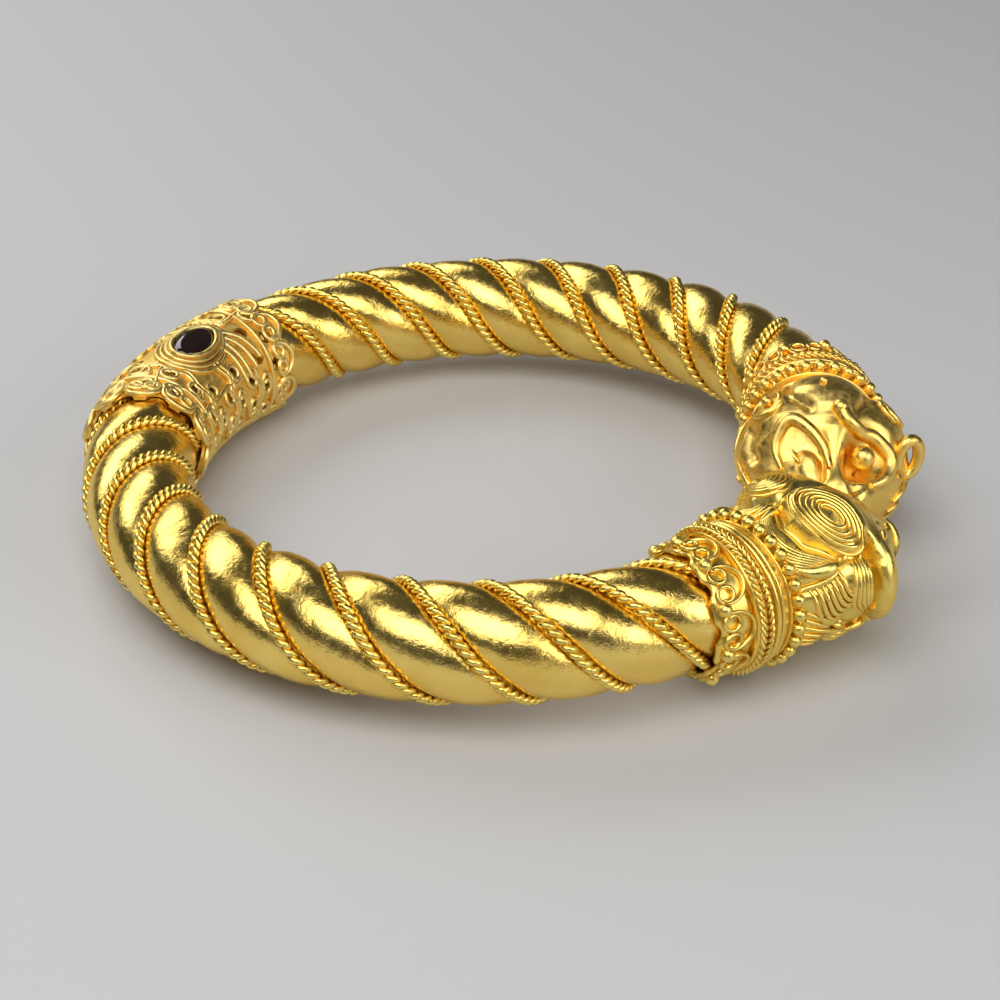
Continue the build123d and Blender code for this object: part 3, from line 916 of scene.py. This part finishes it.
class BANGLE_OT_sleeve(Operator):
    """Lays filigree on the pierced sleeve: edge scrolls, scrollwork, waves and ridges by the stone"""

    bl_idname = "bangle.sleeve"
    bl_label = "Sleeve"

    def execute(self, context):
        sleeve = context.scene.bangle_sleeve
        noise.seed_set(UNEVEN_SEED)
        finish_node("sleeve", gold("pierced_ground"))
        bm = bmesh.new()
        add_wires(bm, self.edge_scrolls(), sleeve.wire * 1.15)
        add_wires(bm, self.scrollwork(), sleeve.wire)
        add_wires(bm, self.waves(), sleeve.wire)
        add_wires(bm, self.long_ridges(), sleeve.wire * 1.25)
        add_wires(bm, self.stone_ridges(), sleeve.wire, closed=True)
        for side in (-1, 1):
            ring = place(sleeve_station() + side * (sleeve.length / 2 - sleeve.border))
            add_ring(bm, ring, sleeve.skin + sleeve.wire / 2, sleeve.wire, sides=8)
        finish_piece("filigree_sleeve", bm, gold("filigree_gold"))
        return {"FINISHED"}

    def laid(self, along, round_, line, lift=0.0):
        """Points on the sleeve's skin from distances along and round it, each a little out of true."""
        sleeve = bpy.context.scene.bangle_sleeve
        radius = sleeve.skin + sleeve.wire / 2 + lift
        points = []
        for x, y in line:
            point = on_tube(sleeve_station() + along + x, radius, round_ + y / radius)
            points.append(point + noise.noise_vector(point * 300.0) * sleeve.uneven)
        return points

    def edge_scrolls(self):
        """C scrolls along both edges, bowed outward."""
        sleeve = bpy.context.scene.bangle_sleeve
        share = sleeve.edge_scroll / bpy.context.scene.bangle_collar.scroll
        lines = []
        for side in (-1, 1):
            along = side * (sleeve.length / 2 - sleeve.edge_scroll)
            bow = [(-side * x * share, y * share) for x, y in scroll_line()]
            for i in range(sleeve.edge_scrolls):
                lines.append(self.laid(along, 2 * pi * (i + 0.5) / sleeve.edge_scrolls, bow))
        return lines

    def near_stone(self, along, round_):
        """How far a place is from the stone's middle, as a share of the stone's half size."""
        sleeve = bpy.context.scene.bangle_sleeve
        across = ((round_ - sleeve.stone_turn + pi) % (2 * pi) - pi) * sleeve.skin
        return hypot(along / (sleeve.stone_length / 2), across / (sleeve.stone_width / 2))

    def by_ridges(self, along, round_):
        """True where the long ridges run down from the stone."""
        sleeve = bpy.context.scene.bangle_sleeve
        down = (round_ - sleeve.stone_turn) * sleeve.skin
        first, last, lowest = (limit * MM for limit in RIDGE_FIELD)
        return first < along < last and 0 < down < lowest

    def hole(self, row, column):
        """Distance along the sleeve and angle round it of a hole in the sheet."""
        sleeve = bpy.context.scene.bangle_sleeve
        along = sleeve.length * ((row + 1) / (sleeve.rows + 1) - 0.5)
        return along, 2 * pi * (column + 0.5 * (row % 2)) / sleeve.columns

    def s_scroll(self, first, last, hand):
        """Wire with a curl round each of two holes, crossing over between them."""
        sleeve = bpy.context.scene.bangle_sleeve
        reach = Vector((last[0] - first[0], (last[1] - first[1]) * sleeve.skin))
        ahead = atan2(reach.y, reach.x)
        steps = 8
        shrink = 0.58
        rows = []
        for middle, start in (((0, 0), pi / 2), (reach, -pi / 2)):
            half = []
            for i in range(steps + 1):
                radius = sleeve.curl * (1 - shrink * i / steps)
                turned = ahead + hand * (start + i * radians(55))
                half.append((middle[0] + radius * cos(turned), middle[1] + radius * sin(turned)))
            rows.append(half)
        return self.laid(first[0], first[1], smooth_path(rows[0][::-1] + rows[1], 3))

    def scrollwork(self):
        """S scrolls from row to row over the whole sheet, but for the place of the stone and its ridges."""
        sleeve = bpy.context.scene.bangle_sleeve
        clear = 1.9
        lines = []
        for row in range(0, sleeve.rows - 1, 2):
            for column in range(sleeve.columns):
                ends = self.hole(row, column), self.hole(row + 1, column)
                if all(self.near_stone(*end) > clear and not self.by_ridges(*end) for end in ends):
                    lines.append(self.s_scroll(*ends, 1 if column % 2 else -1))
        return lines

    def waves(self):
        """Wavy wires round the sleeve between the pairs of rows, in runs that stop short of the stone."""
        sleeve = bpy.context.scene.bangle_sleeve
        clear = 1.7
        steps = 240
        shortest = 6
        swing = 0.30
        lines = []
        for row in range(1, sleeve.rows - 1, 2):
            along = sleeve.length * ((row + 1.5) / (sleeve.rows + 1) - 0.5)
            for shift in (-0.32, 0.32):
                run = []
                for i in range(steps + 1):
                    round_ = sleeve.stone_turn + 2 * pi * i / steps
                    x = along + (swing * cos(sleeve.columns * round_) + shift) * MM
                    if self.near_stone(x, round_) > clear and not self.by_ridges(x, round_):
                        run.append(self.laid(x, round_, [(0, 0)])[0])
                    else:
                        lines.append(run)
                        run = []
                lines.append(run)
        return [line for line in lines if len(line) > shortest]

    def stone_ridges(self):
        """Oval wires round the bezel, one inside the other."""
        sleeve = bpy.context.scene.bangle_sleeve
        lines = []
        for wider, lift in STONE_RIDGES:
            oval = [
                ((sleeve.stone_length / 2 + wider * MM) * x, (sleeve.stone_width / 2 + wider * MM) * y)
                for x, y in ring_outline(48)
            ]
            lines.append(self.laid(0.0, sleeve.stone_turn, oval, lift * MM))
        return lines

    def long_ridges(self):
        """Long wires that run down from the stone's far end."""
        lift = 0.08 * MM
        lines = []
        for places in SLEEVE_RIDGES:
            line = [(x * MM, y * MM) for x, y in smooth_path(places, 8)]
            lines.append(self.laid(0.0, bpy.context.scene.bangle_sleeve.stone_turn, line, lift))
        return lines


def head_frame(end):
    """Frame of a head at its bead ring: x to the hoop's outside, y to the crown, z to the nose."""
    sizes = bpy.context.scene.bangle_head
    if end == "left":
        turned = Matrix.Rotation(sizes.left_lean, 4, "Y") @ Matrix.Rotation(-sizes.left_roll, 4, "Z")
        return place(0) @ Matrix.Scale(-1, 4, (0, 0, 1)) @ turned
    turned = Matrix.Rotation(sizes.right_lean, 4, "Y") @ Matrix.Rotation(-sizes.right_roll, 4, "Z")
    return place(path_length()) @ turned


def cheeks(both):
    """Signs of the cheeks that a thing is on: 1 for its own, and -1 for the other where both is set."""
    return (1, -1) if both else (1,)


def both_cheeks(places, both):
    """The places, and their mirror image on the other cheek where both is set."""
    yield places
    if both:
        yield [(row[0], -row[1], *row[2:]) for row in places]


class HeadShape:
    """Skin of one head: its plain form with the swellings and furrows. Lengths are in mm here."""

    def __init__(self, end):
        self.swellings = []
        for at, round_, half_length, half_width, rise, turn, both in HEAD_SWELLINGS[end]:
            for side in cheeks(both):
                aim = radians(turn * side)
                self.swellings.append((at, round_ * side, half_length, half_width, rise, cos(aim), sin(aim)))
        self.furrows = []
        for depth, half_width, both, places in HEAD_FURROWS[end]:
            for line in both_cheeks(places, both):
                self.furrows.append((depth, half_width, list(zip(line, line[1:]))))

    def plain(self, ahead, turned):
        """Radius of the plain form at a distance from the ring and degrees from the crown."""
        ahead = min(max(ahead, 0.0), HEAD_FORM[-1][0])
        for low, high in zip(HEAD_FORM, HEAD_FORM[1:]):
            if ahead <= high[0]:
                break
        share = (ahead - low[0]) / (high[0] - low[0])
        crown, cheek, jaw = [a + (b - a) * share for a, b in zip(low[1:], high[1:])]
        down = cos(radians(turned))
        upright = crown if down > 0 else jaw
        return 1 / sqrt((down / upright) ** 2 + (sin(radians(turned)) / cheek) ** 2)

    def relief(self, ahead, turned):
        """Height of the swellings less the depth of the furrows."""
        radius = self.plain(ahead, turned)

        def step(spot):
            return spot[0] - ahead, radians((spot[1] - turned + 180) % 360 - 180) * radius

        height = 0.0
        for at, round_, half_length, half_width, rise, aim_cos, aim_sin in self.swellings:
            along, across = step((at, round_))
            u = (along * aim_cos + across * aim_sin) / half_length
            v = (across * aim_cos - along * aim_sin) / half_width
            if u * u + v * v < 4:
                height += rise * exp(-((u * u + v * v) ** 2))
        for depth, half_width, stretches in self.furrows:
            nearest = 3 * half_width
            for start, stop in stretches:
                ax, ay = step(start)
                bx, by = step(stop)
                if min(ax, bx) > nearest or max(ax, bx) < -nearest:
                    continue
                if min(ay, by) > nearest or max(ay, by) < -nearest:
                    continue
                dx, dy = bx - ax, by - ay
                share = max(0.0, min(1.0, -(ax * dx + ay * dy) / (dx * dx + dy * dy)))
                nearest = min(nearest, hypot(ax + share * dx, ay + share * dy))
            if nearest < 3 * half_width:
                height -= depth * exp(-((nearest / half_width) ** 2))
        faded = 0.8
        return height * min(1.0, max(0.0, ahead) / faded, max(0.0, HEAD_FORM[-1][0] - ahead) / faded)

    def point(self, ahead, turned, lift=0.0):
        """Point on the skin or a little above it, in metres in the head's frame."""
        radius = self.plain(ahead, turned) + self.relief(ahead, turned) + lift
        return Vector((radius * sin(radians(turned)), radius * cos(radians(turned)), ahead)) * MM

    def wire(self, rows):
        """Smooth wire through rows of distance, degrees, lift and share of the radius."""
        return [(self.point(a, b, lift), share) for a, b, lift, share in smooth_path(rows, 5)]

    def add_skin(self, bm):
        """Closed skin, pushed out of a sphere."""
        sizes = bpy.context.scene.bangle_head
        grown = bmesh.ops.create_uvsphere(bm, u_segments=sizes.sides, v_segments=sizes.rings, radius=1.0)
        for v in grown["verts"]:
            share = acos(max(-1.0, min(1.0, -v.co.z))) / pi
            ahead = share * (HEAD_FORM[-1][0] + HEAD_SUNK) - HEAD_SUNK
            if hypot(v.co.x, v.co.y) < 1e-4:
                v.co = Vector((0, 0, ahead)) * MM
            else:
                v.co = self.point(ahead, degrees(atan2(v.co.x, v.co.y)))

    def whorl_wire(self, row, side):
        """Spiral wire of a whorl, from its middle outward, on one cheek."""
        at, round_, half_length, half_width, turn, turns, start = row
        radius = self.plain(at, round_)
        aim = radians(turn)
        count = int(28 * turns)
        line = []
        for i in range(count + 1):
            grown = start + (1 - start) * i / count
            u = cos(2 * pi * turns * i / count) * half_length * grown
            v = sin(2 * pi * turns * i / count) * half_width * grown
            along = u * cos(aim) - v * sin(aim)
            across = u * sin(aim) + v * cos(aim)
            share = min(1.0, 0.3 + 4 * min(i, count - i) / count)
            line.append((self.point(at + along, side * (round_ + degrees(across / radius)), 0.05), share))
        return line

    def ear_wire(self, row):
        """Closed ring of an ear, standing at the cheek and facing the nose."""
        sideways, upward, ahead, half_width, half_height = row
        swept = 0.4
        line = []
        for x, y in ring_outline(24):
            spot = (sideways + half_width * x, upward + half_height * y, ahead - swept * x)
            line.append(Vector(spot) * MM)
        return line

    def lock_wires(self, row, side):
        """Curved hairs of a lock, from its roots over its bend to its tips, on one cheek."""
        *places, count = row
        ends = list(zip(places[::2], places[1::2]))
        steps = 12
        for i in range(count):
            hair = [[p + (q - p) * i / (count - 1) for p, q in zip(a, b)] for a, b in ends]
            line = []
            for k in range(steps + 1):
                t = k / steps
                ahead, turned = [(1 - t) ** 2 * a + 2 * t * (1 - t) * b + t * t * c for a, b, c in zip(*hair)]
                share = min(1.0, 0.55 + 1.5 * t, 0.45 + 2.2 * (1 - t))
                line.append((self.point(ahead, side * turned, 0.08), share))
            yield line


class BANGLE_OT_heads(Operator):
    """Makes the two animal heads with their whorls, locks, brows, eyes and ears"""

    bl_idname = "bangle.heads"
    bl_label = "Heads"

    def execute(self, context):
        for end in ("left", "right"):
            shape = HeadShape(end)
            bm = bmesh.new()
            shape.add_skin(bm)
            for *row, radius, both in HEAD_WHORLS[end]:
                add_wires(bm, [shape.whorl_wire(row, side) for side in cheeks(both)], radius * MM)
            for *row, radius, both in HEAD_LOCKS[end]:
                hairs = [hair for side in cheeks(both) for hair in shape.lock_wires(row, side)]
                add_wires(bm, hairs, radius * MM)
            for radius, both, places in HEAD_STRANDS[end]:
                add_wires(bm, [shape.wire(rows) for rows in both_cheeks(places, both)], radius * MM, sides=10)
            for *row, radius in HEAD_EARS[end]:
                add_wires(bm, [shape.ear_wire(row)], radius * MM, sides=10, closed=True)
            for at, round_, lift, radius, both in HEAD_BALLS[end]:
                for side in cheeks(both):
                    add_ball(bm, shape.point(at, side * round_, lift), radius * MM, 24)
            bm.transform(head_frame(end))
            finish_piece(f"animal_{end}", bm, gold(END_GOLD[end]), [f"head_{end}"])
        return {"FINISHED"}


class BANGLE_OT_stage(Operator):
    """Sets up the pale floor, the soft light and the camera"""

    bl_idname = "bangle.stage"
    bl_label = "Floor, light and camera"

    def execute(self, context):
        scene = context.scene
        self.lay_floor(scene)
        self.light(scene)
        self.aim_camera(scene)
        scene.view_settings.view_transform = "Standard"
        return {"FINISHED"}

    def lay_floor(self, scene):
        """Wide pale floor just under the lowest piece."""
        gap = 0.02 * MM
        under = Matrix.Translation((0, 0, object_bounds()[0].z - gap))
        bm = bmesh.new()
        bmesh.ops.create_grid(bm, x_segments=4, y_segments=4, size=4.0, matrix=under)
        made = bpy.data.meshes.new("floor")
        bm.to_mesh(made)
        bm.free()
        floor = bpy.data.objects.new("floor", made)
        scene.collection.objects.link(floor)
        paint = bpy.data.materials.new("pale_floor")
        paint.use_nodes = True
        shader = paint.node_tree.nodes["Principled BSDF"]
        shader.inputs["Base Color"].default_value = FLOOR_COLOUR
        shader.inputs["Roughness"].default_value = 0.6
        made.materials.append(paint)
        floor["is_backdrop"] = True

    def light(self, scene):
        """Dim room and soft boxes."""
        world = bpy.data.worlds.new("studio")
        world.use_nodes = True
        room = world.node_tree.nodes["Background"]
        room.inputs["Color"].default_value = WORLD_COLOUR
        room.inputs["Strength"].default_value = WORLD_STRENGTH
        scene.world = world
        for name, where, width, height, power in SOFT_BOXES:
            lamp = bpy.data.lights.new(name, "AREA")
            lamp.shape = "RECTANGLE"
            lamp.size = width
            lamp.size_y = height
            lamp.energy = power
            holder = bpy.data.objects.new(name, lamp)
            holder.location = where
            holder.rotation_euler = (-Vector(where)).to_track_quat("-Z", "Y").to_euler()
            scene.collection.objects.link(holder)

    def aim_camera(self, scene):
        """Camera with the photograph's view of the hoop's plane."""
        rise = radians(PHOTO_RISE)
        roll = radians(PHOTO_ROLL)
        forward = Vector((0, cos(rise), -sin(rise)))
        right = Vector((1, 0, 0))
        up = Vector((0, sin(rise), cos(rise)))
        image_x = right * cos(roll) - up * sin(roll)
        image_y = right * sin(roll) + up * cos(roll)
        view = Matrix((image_x, image_y, -forward)).transposed().to_4x4()
        view.translation = (Vector(PHOTO_AIM) - forward * PHOTO_DISTANCE) * scene.bangle_hoop.radius
        lens = bpy.data.cameras.new("camera")
        lens.sensor_width = 36.0
        lens.lens = PHOTO_FOCUS * lens.sensor_width / PHOTO_WIDTH
        lens.clip_start = 0.01
        lens.clip_end = 10.0
        camera = bpy.data.objects.new("camera", lens)
        camera.matrix_world = hoop_frame() @ Matrix.Rotation(radians(PHOTO_TURN), 4, "Z") @ view
        scene.collection.objects.link(camera)
        scene.camera = camera


class BANGLE_PT_panel(Panel):
    bl_idname = "BANGLE_PT_panel"
    bl_label = "Animal Head Bangle"
    bl_space_type = "VIEW_3D"
    bl_region_type = "UI"
    bl_category = "Bangle"

    def draw(self, context):
        for group, title in GROUPS:
            box = self.layout.box()
            box.label(text=title)
            sizes = getattr(context.scene, group)
            for prop in sizes.bl_rna.properties:
                if not prop.is_readonly and prop.identifier != "name":
                    box.prop(sizes, prop.identifier)
        for operator in OPERATORS:
            self.layout.operator(operator.bl_idname)


GROUPS = [
    ("bangle_hoop", "Hoop"),
    ("bangle_rope", "Ropes"),
    ("bangle_sleeve", "Sleeve"),
    ("bangle_collar", "Collars"),
    ("bangle_head", "Heads"),
    ("bangle_gold", "Gold"),
]
SIZES = [HoopSizes, RopeSizes, SleeveSizes, CollarSizes, HeadSizes, GoldLook]
OPERATORS = [
    BANGLE_OT_tube,
    BANGLE_OT_ropes,
    BANGLE_OT_sleeve,
    BANGLE_OT_stone,
    BANGLE_OT_collars,
    BANGLE_OT_heads,
    BANGLE_OT_stage,
]


def register():
    for made in SIZES + OPERATORS + [BANGLE_PT_panel]:
        bpy.utils.register_class(made)
    for (group, title), made in zip(GROUPS, SIZES):
        setattr(bpy.types.Scene, group, PointerProperty(type=made, name=title))


def unregister():
    for group, title in GROUPS:
        delattr(bpy.types.Scene, group)
    for made in reversed(SIZES + OPERATORS + [BANGLE_PT_panel]):
        bpy.utils.unregister_class(made)


def main():
    register()
    bpy.ops.bangle.tube()
    bpy.ops.bangle.ropes()
    bpy.ops.bangle.sleeve()
    bpy.ops.bangle.stone()
    bpy.ops.bangle.collars()
    bpy.ops.bangle.heads()
    bpy.ops.bangle.stage()


if __name__ == "__main__":
    main()
